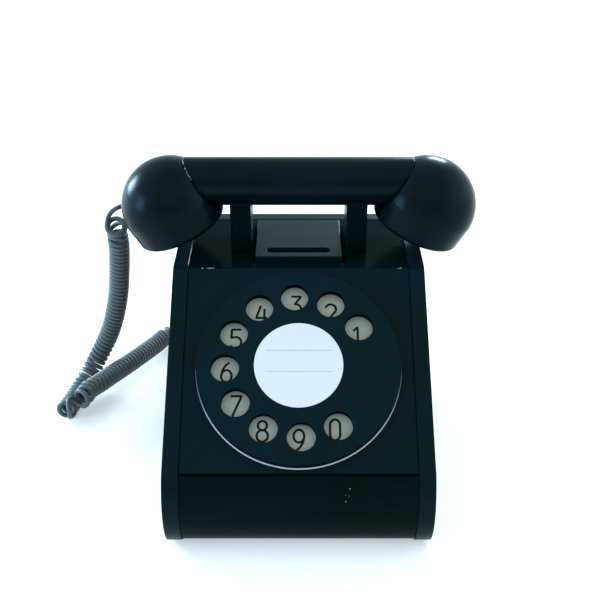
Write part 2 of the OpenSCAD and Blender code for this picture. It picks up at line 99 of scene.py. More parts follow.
# %% Wires and trees
class Wire:
    def __init__(self, tree, socket):
        self.tree, self.socket = tree, socket

    def maths(self, operation, *values):
        return self.tree.node("ShaderNodeMath", {"operation": operation},
                              dict(enumerate(values)))

    def __add__(self, other):
        return self.maths("ADD", self, other)

    def __sub__(self, other):
        return self.maths("SUBTRACT", self, other)

    def __rsub__(self, other):
        return self.maths("SUBTRACT", other, self)

    def __mul__(self, other):
        return self.maths("MULTIPLY", self, other)

    __radd__, __rmul__ = __add__, __mul__

    def most(self, other):
        return self.maths("MAXIMUM", self, other)

    def abs(self):
        return self.maths("ABSOLUTE", self)

    def ramp(self, low, high):
        """0 up to low, 1 from high on, and a soft step between them."""
        settings = {"interpolation_type": "SMOOTHSTEP"}
        return self.tree.node("ShaderNodeMapRange", settings,
                              {"Value": self, "From Min": low, "From Max": high})


class Tree:
    def __init__(self, nodes):
        self.nodes = nodes
        nodes.nodes.clear()

    def node(self, kind, settings=(), sockets=(), output=0):
        """A node of this kind. Settings come first, then the values or wires."""
        made = self.nodes.nodes.new(kind)
        for name, value in dict(settings).items():
            setattr(made, name, value)
        for name, value in dict(sockets).items():
            if isinstance(value, Wire):
                self.nodes.links.new(value.socket, made.inputs[name])
            else:
                made.inputs[name].default_value = value
        return Wire(self, made.outputs[output]) if made.outputs else made

    def outputs(self, wire):
        return {s.name: Wire(self, s) for s in wire.socket.node.outputs}

    def mix(self, mask, a, b):
        """Colour a where the mask is 0 and b where it is 1."""
        return self.node("ShaderNodeMix", {"data_type": "RGBA"},
                         {0: mask, 6: a, 7: b}, output=2)


# %% [markdown]
# ## Finishes
# Every finish is a shader tree on one Principled node. Patterns read Object
# coordinates in metres: a noise of scale 500 has spots about 2 mm wide. What varies
# feeds colour, roughness and bump only.


# %% The base of every finish
class Finish(Tree):
    def __init__(self, name):
        self.material = bpy.data.materials.new(name)
        self.material.use_nodes = True
        super().__init__(self.material.node_tree)
        self.place = self.node("ShaderNodeTexCoord", output="Object")

    def noise(self, scale, detail=2, place=None, roughness=0.5):
        """A noise from 0 to 1, with about scale / 1000 spots to the millimetre."""
        return self.node("ShaderNodeTexNoise", sockets={
            "Vector": place or self.place, "Scale": scale, "Detail": detail,
            "Roughness": roughness})

    def stretched(self, x, y, z):
        return self.node("ShaderNodeMapping", sockets={
            "Vector": self.place, "Scale": (x, y, z)})

    def distance(self, where):
        return self.node("ShaderNodeVectorMath", {"operation": "DISTANCE"},
                         {0: self.place, 1: where}, output="Value")

    def along(self, where, direction):
        """How far a point lies from where along a direction."""
        offset = self.node("ShaderNodeVectorMath", {"operation": "SUBTRACT"},
                           {0: self.place, 1: where})
        return self.node("ShaderNodeVectorMath", {"operation": "DOT_PRODUCT"},
                         {0: offset, 1: direction}, output="Value")

    def attribute(self, name):
        return self.node("ShaderNodeAttribute", {"attribute_name": name}, output="Fac")

    def done(self, colour, roughness, bump=None, depth=0.0002, strength=0.3, **constants):
        """Closes the tree. Constants are set on the shader's own sockets."""
        shader = self.node("ShaderNodeBsdfPrincipled", sockets={
            "Base Color": colour, "Roughness": roughness,
            **{name.replace("_", " "): value for name, value in constants.items()}})
        if bump is not None:
            normal = self.node("ShaderNodeBump", sockets={
                "Height": bump, "Distance": depth, "Strength": strength})
            self.nodes.links.new(normal.socket, shader.socket.node.inputs["Normal"])
        self.node("ShaderNodeOutputMaterial", sockets={"Surface": shader})
        return self.material


# %% [markdown]
# ## Satin paint
# The boards are painted in several thin coats over wood, so the colour drifts between
# blue-black and green-black, and the film has a faint grain along the board. Hands and
# coins have rubbed a few sharp edges through to the pale undercoat. One pale spot, on the
# coin block's back corner, is a painted highlight. The narrow gaps are painted near black,
# and some pieces take a darker copy of the paint as a coat: both are painted shade. Wear
# could be painted by hand on a picture, but then it would fit one shape only. Here the
# bevelled faces carry an attribute named edge, which says where paint can wear, the faces
# that lie in shade carry a second one, which paints them dark, and each finish lists its
# few worn spots and the boxes of its painted shade.

# %% Satin paint
BLUE_BLACK = (0.0004, 0.0098, 0.0135, 1)
GREEN_BLACK = (0.0006, 0.0080, 0.0082, 1)
# A darker copy of green-black: painted shade, mixed into the coats of the posts, the top board,
# the coin block and the handset.
SHADED_GREEN = (0.0006, 0.0034, 0.0034, 1)
STREAK = (0.0015, 0.0125, 0.0150, 1)
RUBBED = (0.009, 0.027, 0.030, 1)
UNDERCOAT = (0.52, 0.49, 0.47, 1)
SPECK = (0.26, 0.31, 0.31, 1)
SHADE_BLACK = (0.0004, 0.0015, 0.0015, 1)
SPOT_CORE = 0.6
SHADE_GAP_FADE = 0.0003


def satin_paint(name, grain=(30, 600, 600), worn=(), specks=(), shade_gaps=(), rough=0.34,
                shine=0.05, coats=(BLUE_BLACK, GREEN_BLACK)):
    """Worn spots are (middle, reach, share of paint gone), specks are (middle, size), and
    shade gaps are boxes painted near black as painted shade: (middle, half width, half
    depth, half height)."""
    f = Finish(name)
    patches = f.noise(14, 3)
    film = f.noise(700, 3)
    streaks = f.noise(1, 4, f.stretched(*grain), 0.6)
    colour = f.mix(patches.ramp(0.38, 0.62), *coats)
    colour = f.mix(streaks.ramp(0.45, 0.8) * 0.35, colour, STREAK)
    edge = f.attribute("edge")
    rubbed = edge * f.noise(120, 2).ramp(0.5, 0.75) * 0.3
    colour = f.mix(rubbed, colour, RUBBED)
    chips = None
    for where, reach, share in worn:
        near = (1 - f.distance(where).ramp(reach * SPOT_CORE, reach)) * share
        chips = near if chips is None else chips.most(near)
    if chips is not None:
        # The paint goes in small flakes, most of them near the middle of a worn spot.
        chips = edge * (f.noise(650, 3) * 0.9 + chips * 0.4).ramp(0.74, 0.84) * chips
        colour = f.mix(chips, colour, UNDERCOAT)
    for where, size in specks:
        dot = 1 - f.distance(where).ramp(size * SPOT_CORE, size)
        colour = f.mix(dot * 0.6, colour, SPECK)
    roughness = streaks * 0.10 + (rough - 0.05) + edge * 0.08
    # Painted shade: faces marked as lying in shade, and the gap boxes, turn near black and
    # rough.
    painted_shade = f.attribute("groove")
    for where, *reaches in shade_gaps:
        inside = 1
        for direction, reach in zip(((1, 0, 0), (0, 1, 0), (0, 0, 1)), reaches):
            outside = f.along(where, direction).abs().ramp(reach, reach + SHADE_GAP_FADE)
            inside = (1 - outside) * inside
        painted_shade = painted_shade.most(inside)
    colour = f.mix(painted_shade, colour, SHADE_BLACK)
    roughness = roughness.most(painted_shade * 0.95)
    bump = film * 0.5 + streaks * 0.5
    return f.done(colour, roughness, bump, 0.00012, 0.22, Specular_IOR_Level=shine)


# %% [markdown]
# ## Cord plastic
# The cord is soft bluish grey plastic, wound hot into its curls. The outer side of the
# curls is painted paler and the inner side darker: painted shade inside the coil, where
# the curls shade each other. Each point of the cord's mesh says how far outside it lies,
# so the painted shade follows every curl, which a pattern in space could not do.

# %% Cord plastic
def cord_plastic():
    f = Finish("cord_plastic")
    outside = f.attribute("outside")
    grime = f.noise(60, 3)
    lines = f.noise(160, 2, f.stretched(8, 8, 8))
    # Painted shade: the inner side of the curls is darker, the outer side paler.
    colour = f.mix(outside, (0.056, 0.066, 0.068, 1), (0.094, 0.107, 0.106, 1))
    colour = f.mix(grime.ramp(0.4, 0.75) * 0.4, colour, (0.063, 0.073, 0.072, 1))
    bump = lines * 0.5 + f.noise(900, 2) * 0.5
    return f.done(colour, grime * 0.12 + 0.36, bump, 0.0001, 0.2,
                  Specular_IOR_Level=0.3)


# %% [markdown]
# ## Paper, enamel, rubber, felt and metal
# The small parts are quickly told apart by their roughness: soft paper with two ruled
# lines, half-matt enamel, dull rubber, fuzzy felt, bare wood and plain metal. One noise
# is enough for each of them, so most share one function. Paper and enamel measure from
# the dial's axle, so that their lines and rims sit right on it.

# %% Small finishes
dial_spin = next(j for j in frame["joints"] if j["name"] == "dial_spin")
DIAL, OUT = Vector(dial_spin["pos_m"]), Vector(dial_spin["axis"]).normalized()
UP = Vector((0, OUT.z, -OUT.y))
LINE_HEIGHTS, LINE_REACH, LINE_END = (0.0075, -0.0037), 0.0164, 0.0168
LINE_HALF, LINE_FADE = 0.00014, 0.00026
SHADE_RING, PALE_RIM, RING_FADE = 0.0508, 0.0510, 0.0002


def label_paper():
    f = Finish("label_paper")
    fibres = f.noise(1500, 3)
    across, up = f.along(DIAL, (1, 0, 0)), f.along(DIAL, UP)
    inside = 1 - across.abs().ramp(LINE_REACH, LINE_END)
    lines = None
    for height in LINE_HEIGHTS:
        line = (1 - (up - height).abs().ramp(LINE_HALF, LINE_FADE)) * inside
        lines = line if lines is None else lines.most(line)
    colour = f.mix(f.noise(40, 2) * 0.5, (0.67, 0.675, 0.70, 1), (0.72, 0.70, 0.72, 1))
    colour = f.mix(lines * 0.75, colour, (0.30, 0.38, 0.44, 1))
    return f.done(colour, fibres * 0.1 + 0.5, fibres, 0.00003, 0.3,
                  Specular_IOR_Level=0.3)


def plate_enamel():
    f = Finish("plate_enamel")
    mottle = f.noise(300, 4)
    colour = f.mix(mottle.ramp(0.3, 0.7), (0.33, 0.347, 0.286, 1), (0.384, 0.392, 0.335, 1))
    # A dark ring is painted under the wheel's edge: painted shade. The plate's rim outside
    # it is pale, and paler still towards the bottom: a painted highlight.
    radius = f.distance(DIAL)
    colour = f.mix(radius.ramp(SHADE_RING, SHADE_RING + RING_FADE), colour,
                   (0.05, 0.06, 0.06, 1))
    # Painted highlight: the pale rim is palest at the bottom.
    low = 1 - f.along(DIAL, UP).ramp(-0.034, -0.010) * 0.8
    colour = f.mix(radius.ramp(PALE_RIM, PALE_RIM + RING_FADE) * low, colour,
                   (0.60, 0.61, 0.62, 1))
    return f.done(colour, mottle * 0.15 + 0.42, mottle, 0.00005, 0.3,
                  Specular_IOR_Level=0.4)


def plain(name, dark, pale, scale, rough, grain=None, depth=0.0001, **constants):
    """A finish whose colour, roughness and bump all follow one noise."""
    f = Finish(name)
    spots = f.noise(1 if grain else scale, 4, f.stretched(*grain) if grain else None)
    colour = f.mix(spots.ramp(0.35, 0.65), dark, pale)
    return f.done(colour, spots * 0.2 + (rough - 0.1), spots, depth, 0.35, **constants)


ink = plain("ink", (0.003, 0.004, 0.004, 1), (0.006, 0.007, 0.007, 1), 900, 0.6,
            Specular_IOR_Level=0.1)
rubber = plain("rubber", (0.030, 0.036, 0.042, 1), (0.045, 0.052, 0.058, 1), 700, 0.6)
felt = plain("felt", (0.012, 0.013, 0.013, 1), (0.030, 0.032, 0.032, 1), 1400, 0.95,
             depth=0.0004)
bare_wood = plain("bare_wood", (0.28, 0.17, 0.09, 1), (0.46, 0.31, 0.17, 1), 1, 0.6,
                  grain=(18, 400, 400))
steel = plain("steel", (0.42, 0.43, 0.44, 1), (0.60, 0.61, 0.62, 1), 900, 0.35,
              depth=0.00004, Metallic=1)
brass = plain("brass", (0.48, 0.33, 0.12, 1), (0.66, 0.48, 0.20, 1), 700, 0.32,
              depth=0.00004, Metallic=1)
print("finishes", len(bpy.data.materials))

# %% [markdown]
# ## The curly cord
# A curly cord is one long wire, wound round a path. It leaves the mouthpiece in a short
# free lead, and its curls hang to the table, turn there and run round to the back of
# the case. They lie evenly along the inner side of each bend, as real ones do when they
# touch there and open on the outer side. A Blender curve could make the tube too. Here
# the wire's middle line is worked out in plain Python, because its exact length is
# needed, and each ring of the tube stands square to it.

# %% Path of the cord
# Lengths are in millimetres and angles in degrees. The curls are spaced evenly on a
# line INNER_SIDE curl radii inside each bend. A bend is measured over BEND_WINDOW
# points to each side.
CURL_RADIUS, WIRE = 4.66, 2.74
RINGS_PER_CURL, CURLS, LEAD_RINGS = 24, 92, 26
FIRST_ANGLE, EXTRA_TURN = 80, 160
INNER_SIDE = 1.12
PATH_STEPS, BEND_WINDOW = 24, 6
# The cord leaves the mouthpiece along EXIT, and its grip ends EXIT_REACH such steps
# from the knob's middle.
MOUTHPIECE = np.array([-68.5, 44.7, 133.3])
EXIT = np.array([-3.0, 2.0, -1.0])
EXIT_REACH = 7.8
CORD_START = MOUTHPIECE + EXIT_REACH * EXIT
CORD_END = np.array([-44.0, 84.5, 21.0])
# Hanging points give the distance out from the mouthpiece, the distance behind it, and
# the height as a share of the mouthpiece's. Lying points are plain coordinates.
HANGING = np.array([
    [31.6, 1.3, 0.9], [31.9, 6, 0.864], [32.2, 7.5, 0.816], [32.5, 9.8, 0.773],
    [33.7, 12.3, 0.694], [35.3, 14.8, 0.608], [37.2, 17.3, 0.521], [39.7, 19.3, 0.439],
    [42.8, 21.3, 0.356], [46.5, 22.8, 0.278], [50.7, 22.7, 0.21], [55.2, 20.3, 0.149],
    [59.5, 15.8, 0.096]])
LYING = np.array([
    [-131.6, 53.5, 8.2], [-134.3, 43, 6.6], [-136.8, 31.5, 6.6], [-136.8, 26.3, 8.5],
    [-133.8, 23.4, 12.1], [-129.4, 24.6, 15.2], [-126.3, 29, 16.2], [-124.3, 36.3, 16.2],
    [-119.6, 44.3, 15.2], [-114.5, 53.9, 14], [-109.2, 64, 12.5], [-103.8, 75, 10.8],
    [-98.6, 86.3, 9], [-93.1, 97.8, 7.5], [-87.8, 108.2, 6.9], [-79, 113, 6.8],
    [-68, 116, 7.8], [-57.5, 114.5, 11], [-49, 108, 16]])
ROUTE = np.vstack([MOUTHPIECE * [1, 1, 0] + HANGING * [-1, 1, MOUTHPIECE[2]], LYING])


def unit(v):
    return v / np.linalg.norm(v, axis=-1, keepdims=True)


def smooth_path(points, steps):
    """A smooth line through the points, each pair of them joined by a cubic."""
    line = []
    for i in range(len(points) - 1):
        a, b = points[max(i - 1, 0)], points[i]
        c, d = points[i + 1], points[min(i + 2, len(points) - 1)]
        for t in np.arange(steps) / steps:
            line.append(0.5 * (2 * b + (c - a) * t + (2 * a - 5 * b + 4 * c - d) * t ** 2
                               + (3 * b - a - 3 * c + d) * t ** 3))
    return np.array(line + [points[-1]])


path = smooth_path(ROUTE, PATH_STEPS)
steps = np.linalg.norm(np.diff(path, axis=0), axis=1)
run = np.concatenate([[0], np.cumsum(steps)])
heading = unit(np.gradient(path, run, axis=0))
low = np.maximum(np.arange(len(path)) - BEND_WINDOW, 0)
high = np.minimum(np.arange(len(path)) + BEND_WINDOW, len(path) - 1)
turned = np.arccos(np.clip((heading[low] * heading[high]).sum(1), -1, 1))
bend = turned / (run[high] - run[low])
inner_steps = steps * (1 - INNER_SIDE * CURL_RADIUS * bend[:-1])
inner = np.concatenate([[0], np.cumsum(inner_steps)])

# A side direction, carried along the path without twisting.
side = [np.array([0, 0, 1.0])]
for h in heading:
    v = side[-1]
    side.append(unit(v - (v @ h) * h))
side = np.array(side[1:])
print(f"path of the curls: {run[-1]:.0f} mm")

# %% Rings of the cord
share = np.linspace(0, 1, CURLS * RINGS_PER_CURL + 1)
places = np.interp(share * inner[-1], inner, run)
angles = math.radians(FIRST_ANGLE) + share * math.radians(360 * CURLS + EXTRA_TURN)


def at_places(values):
    return np.stack([np.interp(places, run, values[:, k]) for k in range(3)], axis=1)


forward = unit(at_places(heading))
sideways = at_places(side)
sideways = unit(sideways - (sideways * forward).sum(1, keepdims=True) * forward)
outward = (np.cos(angles)[:, None] * sideways
           + np.sin(angles)[:, None] * np.cross(sideways, forward))
curls = at_places(path) + CURL_RADIUS * outward


def lead(start, leaving, ring, arriving):
    """A cubic from a grip to the nearest curl, with the directions at its two ends."""
    t = (np.arange(LEAD_RINGS) / LEAD_RINGS)[:, None]
    return ((1 - t) ** 2 * ((1 + 2 * t) * start + t * leaving)
            + t ** 2 * ((3 - 2 * t) * ring - (1 - t) * arriving))


# How strongly each lead keeps to the directions at its ends, in millimetres.
UPPER_PULL, LOWER_PULL = 24, 14
lead_in = lead(CORD_START + WIRE * unit(EXIT), UPPER_PULL * unit(EXIT),
               curls[0], UPPER_PULL * unit(curls[1] - curls[0]))
lead_out = lead(CORD_END + [0, WIRE, 0], np.array([0, LOWER_PULL, 0]),
                curls[-1], LOWER_PULL * unit(curls[-2] - curls[-1]))
middles = np.vstack([CORD_START, lead_in, curls, lead_out[::-1], CORD_END])
outward = np.vstack([outward[:1].repeat(LEAD_RINGS + 1, 0), outward,
                     outward[-1:].repeat(LEAD_RINGS + 1, 0)])

# %% Tube of the cord
CORD_SIDES = 12
ahead = unit(np.gradient(middles, axis=0))
ahead[0], ahead[-1] = unit(EXIT), np.array([0, -1.0, 0])
out = unit(outward - (outward * ahead).sum(1, keepdims=True) * ahead)
up = np.cross(ahead, out)
around = 2 * math.pi * np.arange(CORD_SIDES) / CORD_SIDES
tube = (middles[:, None] + WIRE / 2 * (np.cos(around)[None, :, None] * out[:, None]
                                       + np.sin(around)[None, :, None] * up[:, None]))
tube = tube.reshape(-1, 3) * MM


def mesh_piece(name, vertices, faces, material):
    mesh = bpy.data.meshes.new(name)
    mesh.from_pydata([tuple(v) for v in vertices], [], faces)
    mesh.materials.append(material)
    mesh.polygons.foreach_set("use_smooth", [True] * len(faces))
    mesh.update()
    return placed(name, mesh)


def ring_faces(rings, sides):
    """The faces of a row of rings of points, closed at its two ends."""
    last = (rings - 1) * sides
    faces = [tuple(reversed(range(sides))), tuple(range(last, last + sides))]
    for i in range(rings - 1):
        for k in range(sides):
            a, b = i * sides + k, i * sides + (k + 1) % sides
            faces.append((a, b, b + sides, a + sides))
    return faces


faces = ring_faces(len(middles), CORD_SIDES)
curly_cord = mesh_piece("curly_cord", tube, faces, cord_plastic())
# How far outside each point lies, for the painted shade of the curls.
outside = np.tile((np.cos(around) + 1) / 2, len(middles)).astype(np.float32)
layer = curly_cord.data.attributes.new("outside", "FLOAT", "POINT")
layer.data.foreach_set("value", outside)
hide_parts("handset_cord")
print("cord triangles", 2 * len(faces))

# %% [markdown]
# ## Cord grips
# Where the cord goes into wood, a rubber grip keeps it from kinking and chafing. It is
# a sunk neck, a rounded collar and a taper down to the cord, round all over, so one
# profile spun round its axis makes it. The same function turns the handset's knobs.


# %% Turned pieces
def turned(name, profile, place, material, steps=48):
    """A profile of (radius, height) in mm, spun round local Z and put in its place."""
    rows = [[(r * math.cos(a), r * math.sin(a), z)
             for a in 2 * math.pi * np.arange(steps) / steps] for r, z in profile]
    points = [place @ (Vector(p) * MM) for row in rows for p in row]
    return mesh_piece(name, points, ring_faces(len(rows), steps), material)


def aimed(origin, direction):
    """A place whose local Z runs along a direction."""
    turn = Vector(direction).to_track_quat("Z", "Y").to_matrix().to_4x4()
    return Matrix.Translation(Vector(origin) * MM) @ turn


GRIP = [(4.45, -8), (4.45, 0.2), (4.4, 0.7), (4.15, 1.1), (3.6, 1.4), (3.0, 2.0),
        (2.55, 2.7), (2.2, 3.0), (1.6, 3.0)]
GRIP_HEIGHT = GRIP[-1][1]
for name, end, direction, body, node in (
        ("handset_grip", CORD_START, EXIT, "handset", "handset_cord_grip"),
        ("case_grip", CORD_END, (0, 1, 0), "case", "case_cord_grip")):
    base = Vector(end) - GRIP_HEIGHT * Vector(direction).normalized()
    grip = turned(name, GRIP, aimed(base, direction), rubber)
    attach(grip, body)
    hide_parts(node)
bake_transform(curly_cord)

# %% [markdown]
# ## Boards with soft edges
# Real boards never meet in knife edges: sandpaper and paint round them by half a
# millimetre, and two rounded edges side by side read as a dark seam. Each board takes
# the construction model's exact outline, because a board drawn anew could miss it by a
# hair. Its triangles are joined into whole faces, its sharp edges are bevelled, and the
# bevel's faces are marked for the paint.

# %% Softened boards
# Angles are in degrees. Faces that turn less than FLAT are one face, and an edge is
# sharp, and gets a bevel, from SHARP on.
FLAT, SHARP, SMALL_PARTS_SHARP = 0.4, 28, 40
MERGE_DISTANCE = 1e-6


def softened(name, node, width, material, body="case", angle=SHARP):
    shape = bmesh.new()
    shape.from_mesh(frame["nodes"][node].data)
    bmesh.ops.remove_doubles(shape, verts=shape.verts, dist=MERGE_DISTANCE)
    bmesh.ops.dissolve_limit(shape, angle_limit=math.radians(FLAT), verts=shape.verts,
                             edges=shape.edges)
    return finish_edges(name, shape, width, material, body, (node,), angle)


def finish_edges(name, shape, width, material, body, nodes, angle):
    """Bevels the sharp edges, evens out the shading and hands the piece over."""
    sharp = [e for e in shape.edges
             if e.is_manifold and e.calc_face_angle() > math.radians(angle)]
    edge = shape.faces.layers.float.new("edge")
    rounded = bmesh.ops.bevel(shape, geom=sharp, offset=width * MM, segments=3,
                              profile=0.5, affect="EDGES", clamp_overlap=True)
    for face in rounded["faces"]:
        face[edge] = 1
    for face in shape.faces:
        face.smooth = True
    mesh = bpy.data.meshes.new(name)
    shape.to_mesh(mesh)
    shape.free()
    mesh.materials.append(material)
    made = placed(name, mesh)
    even = made.modifiers.new("even_shading", "WEIGHTED_NORMAL")
    even.keep_sharp = True
    made = plain_mesh(made)
    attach(made, body)
    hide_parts(*nodes)
    return made


def paint_shaded_faces(shape, hidden):
    """Marks the faces whose normal says that they lie in shade, for the painted shade."""
    shape.normal_update()
    groove = shape.faces.layers.float.new("groove")
    for face in shape.faces:
        face[groove] = hidden(face.normal)


def plain_mesh(made):
    """The same object with its modifiers turned into plain mesh."""
    graph = bpy.context.evaluated_depsgraph_get()
    mesh = bpy.data.meshes.new_from_object(made.evaluated_get(graph))
    made.modifiers.clear()
    made.data = mesh
    mesh.name = made.name
    return made


# %% Wear, seams and paints of the boards
# Places are in millimetres, reaches and half sizes in metres.
SIDE_WEAR = [(point(-58, 30, 110.6), 0.015, 1.0), (point(58, 20, 110.6), 0.006, 0.6)]
# The spot at the coin block's back corner is a painted highlight in the undercoat's colour. The
# other two spots are worn paint.
EDGE_WEAR_AND_GLINT = [(point(-47.5, 17, 109.8), 0.0055, 0.72), (point(53, 17, 109.8), 0.0015, 0.9),
             (point(22.8, 62.5, 114.4), 0.0035, 1.0)]
# These boxes beside the coin block and along the joints of the back board and the rail are
# painted near black: painted shade in the gaps.
SHADE_GAP_BOXES = [(point(-23.9, 44, 110), 0.0009, 0.0215, 0.02),
         (point(23.9, 44, 110), 0.0009, 0.0215, 0.02),
         (point(0, 73.6, 110), 0.06, 0.0006, 0.02)]
RAIL_SHADE_GAP = [(point(0, -73, 46.5), 0.06, 0.0004, 0.0004)]
BACK_SHADE_GAP = [(point(0, 73.5, 110), 0.06, 0.0014, 0.02)]
DUST = [(point(24.6, -76.8, 41.0), 0.00045), (point(22.6, -79.2, 35.1), 0.00042),
        (point(22.7, -78.1, 38.3), 0.00028), (point(24.2, -78.2, 37.8), 0.00025)]
side_paint = satin_paint("side_paint", (600, 60, 60), SIDE_WEAR)
face_paint = satin_paint("face_paint", worn=EDGE_WEAR_AND_GLINT, shade_gaps=RAIL_SHADE_GAP)
# The rail's coats are darker copies of the same paint: painted shade, as the rail faces down.
rail_paint = satin_paint("rail_paint", specks=DUST, shade_gaps=RAIL_SHADE_GAP, rough=0.38,
                         shine=0.02, coats=((0.0008, 0.0055, 0.0058, 1),
                                            (0.0010, 0.0050, 0.0044, 1)))
# The top board and the coin block take a darker copy of the paint as one coat: painted shade.
top_paint = satin_paint("top_paint", (30, 600, 600), EDGE_WEAR_AND_GLINT, shade_gaps=SHADE_GAP_BOXES, rough=0.15,
                        shine=0.013, coats=(GREEN_BLACK, SHADED_GREEN))
block_paint = satin_paint("block_paint", (30, 600, 600), EDGE_WEAR_AND_GLINT, shade_gaps=BACK_SHADE_GAP,
                          rough=0.24, shine=0.105, coats=(GREEN_BLACK, SHADED_GREEN))
# The posts' coats are darker copies of the paint: painted shade under the bar.
post_paint = satin_paint("post_paint", (600, 600, 60), rough=0.3, shine=0.015,
                         coats=((0.0006, 0.0038, 0.0044, 1), SHADED_GREEN))
print("paints", sum("paint" in m.name for m in bpy.data.materials))

# %% Boards, posts and coin block
for side_name in ("left", "right"):
    softened(side_name + "_board", side_name + "_side_panel", 0.9, side_paint)
    softened(side_name + "_post", side_name + "_cradle_post", 0.6, post_paint)
softened("face_board", "front_panel", 0.45, face_paint)
softened("round_rail", "front_rail", 0.5, rail_paint)
softened("top_board", "top_panel", 0.35, top_paint)
softened("back_board", "back_panel", 0.7, block_paint)
softened("coin_block", "slot_block", 0.4, block_paint)

# %% [markdown]
# ## The dial
# A pale number plate is fixed to the face. The finger wheel turns in front of it, and
# its ten holes show the numbers. Holes could be cut out of a disc one by one. But the
# wheel follows a rule, one outline and a ring of equal holes, so a geometry tree makes
# it: change a number and the wheel follows.


# %% Geometry trees
class Shape(Tree):
    """A geometry tree with named inputs. Its result becomes a plain mesh."""

    def __init__(self, name, **sizes):
        group = bpy.data.node_groups.new(name, "GeometryNodeTree")
        super().__init__(group)
        group.interface.new_socket("Geometry", in_out="OUTPUT",
                                   socket_type="NodeSocketGeometry")
        self.keys = {}
        for size in sizes:
            whole_number = isinstance(sizes[size], int)
            kind = "NodeSocketInt" if whole_number else "NodeSocketFloat"
            item = group.interface.new_socket(size, in_out="INPUT", socket_type=kind)
            self.keys[size] = item.identifier
        self.sizes = sizes
        self.inputs = self.outputs(self.node("NodeGroupInput"))

    def circle(self, radius, points):
        return self.node("GeometryNodeCurvePrimitiveCircle",
                         sockets={"Resolution": points, "Radius": radius})

    def vector(self, x=0.0, y=0.0, z=0.0):
        return self.node("ShaderNodeCombineXYZ", sockets={"X": x, "Y": y, "Z": z})

    def join(self, *parts):
        made = self.node("GeometryNodeJoinGeometry")
        for part in parts:
            self.nodes.links.new(part.socket, made.socket.node.inputs[0])
        return made

    def piece(self, name, result, material, place):
        realized = self.node("GeometryNodeRealizeInstances", sockets={0: result})
        painted = self.node("GeometryNodeSetMaterial",
                            sockets={"Geometry": realized, "Material": material})
        self.node("NodeGroupOutput", sockets={0: painted})
        made = placed(name, bpy.data.meshes.new(name))
        modifier = made.modifiers.new(name, "NODES")
        modifier.node_group = self.nodes
        for size, key in self.keys.items():
            modifier[key] = self.sizes[size]
        plain_mesh(made)
        made.data.transform(place)
        return made


# The dial's heights above the face are in millimetres, the wheel's sizes in metres.
PLATE_THICKNESS, DIAL_GAP, INK_LIFT = 1.0, 0.5, 0.01
LABEL_RECESS, HUB_GAP = 0.0018, 0.00002
dial_place = Matrix.Translation(DIAL) @ Matrix((
    (1, 0, 0, 0), (0, UP.y, OUT.y, 0), (0, UP.z, OUT.z, 0), (0, 0, 0, 1)))
print("dial at", [round(c / MM, 1) for c in DIAL])

# %% Finger wheel
wheel = Shape("finger_wheel_shape", wheel_radius=0.0511, thickness=0.0042,
              hole_radius=0.0071, hole_circle=0.0367, holes=10,
              first_angle=math.radians(33.6), step_angle=math.radians(29.8),
              label_radius=0.0222, axle_radius=0.003)
size = wheel.inputs
index = wheel.node("GeometryNodeInputIndex")
angle = index * size["step_angle"] + size["first_angle"]
spot = wheel.vector(angle.maths("COSINE", angle) * size["hole_circle"],
                    angle.maths("SINE", angle) * size["hole_circle"])
spots = wheel.node("GeometryNodePoints",
                   sockets={"Count": size["holes"], "Position": spot})
holes = wheel.node("GeometryNodeInstanceOnPoints", sockets={
    "Points": spots, "Instance": wheel.circle(size["hole_radius"], 64)})
holes = wheel.node("GeometryNodeRealizeInstances", sockets={0: holes})


def slab(outline, thickness):
    """A closed slab between the curves of an outline."""
    flat = wheel.node("GeometryNodeFillCurve", {"mode": "NGONS"}, {0: outline})
    raised = wheel.node("GeometryNodeExtrudeMesh", sockets={
        "Mesh": flat, "Offset": wheel.vector(z=1.0), "Offset Scale": thickness,
        "Individual": False})
    back = wheel.node("GeometryNodeFlipFaces", sockets={0: flat})
    return wheel.node("GeometryNodeMergeByDistance", sockets={
        "Geometry": wheel.join(raised, back), "Distance": MERGE_DISTANCE})


rim = wheel.join(wheel.circle(size["wheel_radius"], 192), holes,
                 wheel.circle(size["label_radius"], 96))
hub = wheel.join(wheel.circle(size["label_radius"] - HUB_GAP, 96),
                 wheel.circle(size["axle_radius"], 48))
both = wheel.join(slab(rim, size["thickness"]),
                  slab(hub, size["thickness"] - LABEL_RECESS))
above_plate = Matrix.Translation((0, 0, (PLATE_THICKNESS + DIAL_GAP) * MM))
blank = wheel.piece("wheel_blank", both, ink, dial_place @ above_plate)
wheel_shape = bmesh.new()
wheel_shape.from_mesh(blank.data)
bpy.data.objects.remove(blank)
# The walls of the holes and of the rim stand along the axle. They are painted dark:
# painted shade.
paint_shaded_faces(wheel_shape, lambda normal: abs(normal.dot(OUT)) < 0.3)
wheel_paint = satin_paint("wheel_paint", (60, 600, 600), rough=0.36)
number_wheel = finish_edges("number_wheel", wheel_shape, 0.3, wheel_paint, "dial",
                            ("finger_wheel",), SMALL_PARTS_SHARP)
print("wheel faces", len(number_wheel.data.polygons))

# %% [markdown]
# ## Numbers
# The numbers are drawn by hand with a round pen: each is one or two strokes. A font
# would be quicker, but its lines swell and end in other ways than a pen's. So the
# strokes are points in millimetres, and a geometry tree sweeps a flat round nib along
# them. They stand upright, on a circle of their own a little below that of the holes,
# because one looks down at them past the wheel.


# %% Strokes of the numbers
def arc(cx, cy, rx, ry, start, stop, count=14):
    """Points on an ellipse, from one angle to another in degrees."""
    return [(cx + rx * math.cos(math.radians(a)), cy + ry * math.sin(math.radians(a)))
            for a in np.linspace(start, stop, count)]


